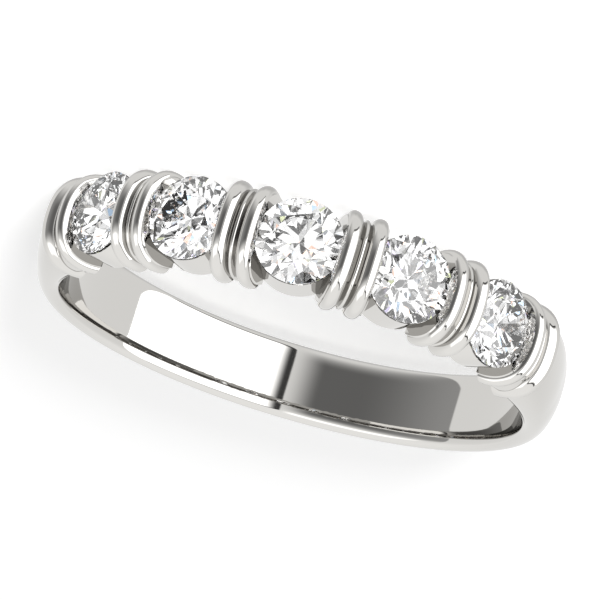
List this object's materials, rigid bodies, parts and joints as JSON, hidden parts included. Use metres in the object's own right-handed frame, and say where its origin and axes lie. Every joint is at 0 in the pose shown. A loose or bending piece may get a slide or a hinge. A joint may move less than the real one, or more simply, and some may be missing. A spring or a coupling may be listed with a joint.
{
  "type": "bar set ring",
  "caption": "Bar set band in polished white metal: round brilliants held by their girdles between pairs of rounded, grooved bars across the head, on a plain D-section shank.",
  "frame": {"origin": "centre of the finger hole, on its axis and halfway between the ring's two sides", "axes": "+Z along the finger hole, upwards as the ring lies on its side; the head with the stones faces -Y, the back of the shank +Y; X along the row of stones"},
  "size_m": [0.0196, 0.0206, 0.0036],
  "materials": {
    "white_gold": "mirror polished white gold",
    "stone": "clear brilliant-cut gem"
  },
  "bodies": {
    "root": {"band": "white_gold", "stone_1": "stone", "stone_2": "stone", "stone_3": "stone", "stone_4": "stone", "stone_5": "stone"}
  },
  "joints": []
}
